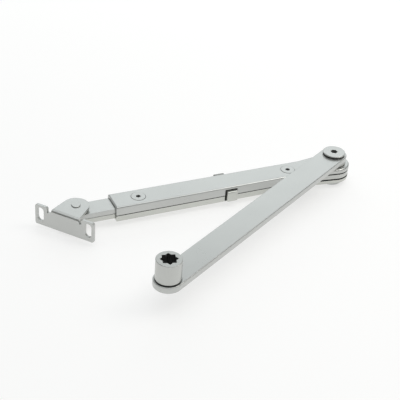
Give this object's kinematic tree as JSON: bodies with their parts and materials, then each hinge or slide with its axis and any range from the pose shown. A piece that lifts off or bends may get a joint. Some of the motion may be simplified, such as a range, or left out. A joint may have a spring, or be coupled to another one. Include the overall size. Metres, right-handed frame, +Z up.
{
  "type": "door closer arm",
  "caption": "Scissor link arm of an overhead door closer: flat main arm with a star-socket hub, elbow pivot, clamped sleeve with a sliding bar, and a slotted foot bracket.",
  "frame": {"origin": "centre of the bounding box's underside; the lowest point is the elbow nut's lower face", "axes": "+Z up along the three parallel hinge axes, -X along the forearm from the elbow to the foot bracket, the main arm on the -Y side"},
  "size_m": [0.312, 0.164, 0.0487],
  "materials": {
    "silver_enamel": "satin silver enamel",
    "bright_steel": "zinc-plated steel",
    "black_polymer": "matt black acetal"
  },
  "bodies": {
    "main_arm": {"main_arm_bar": "silver_enamel", "spindle_hub": "silver_enamel", "elbow_bush": "bright_steel"},
    "forearm": {"forearm_upper_shell": "silver_enamel", "forearm_lower_shell": "silver_enamel", "elbow_eye_plate": "silver_enamel", "elbow_pivot_screw": "bright_steel", "elbow_nut": "bright_steel", "elbow_thrust_washer": "black_polymer", "elbow_spacer_washer": "bright_steel", "clamp_screw_front": "bright_steel", "clamp_screw_rear": "bright_steel", "clamp_sleeve_nut_front": "bright_steel", "clamp_sleeve_nut_rear": "bright_steel", "cross_key": "silver_enamel"},
    "sliding_bar": {"inner_bar_upper": "silver_enamel", "inner_bar_lower": "silver_enamel", "bar_rivet": "bright_steel", "foot_rivet": "silver_enamel", "foot_spacer_washer": "bright_steel", "foot_lower_washer": "bright_steel"},
    "foot": {"foot_bracket": "silver_enamel"}
  },
  "joints": [
    {"name": "elbow_swing", "type": "hinge", "parent": "main_arm", "child": "forearm", "pos_m": [0.13984, 0.06248, 0.0217], "axis": [0, 0, 1], "range_deg": [-150, 18]},
    {"name": "telescope", "type": "slide", "parent": "forearm", "child": "sliding_bar", "axis": [-1, 0, 0], "range_m": [-0.014, 0.036]},
    {"name": "foot_swing", "type": "hinge", "parent": "sliding_bar", "child": "foot", "pos_m": [-0.12226, 0.06248, 0.0188], "axis": [0, 0, 1], "range_deg": [-130, 55]}
  ]
}
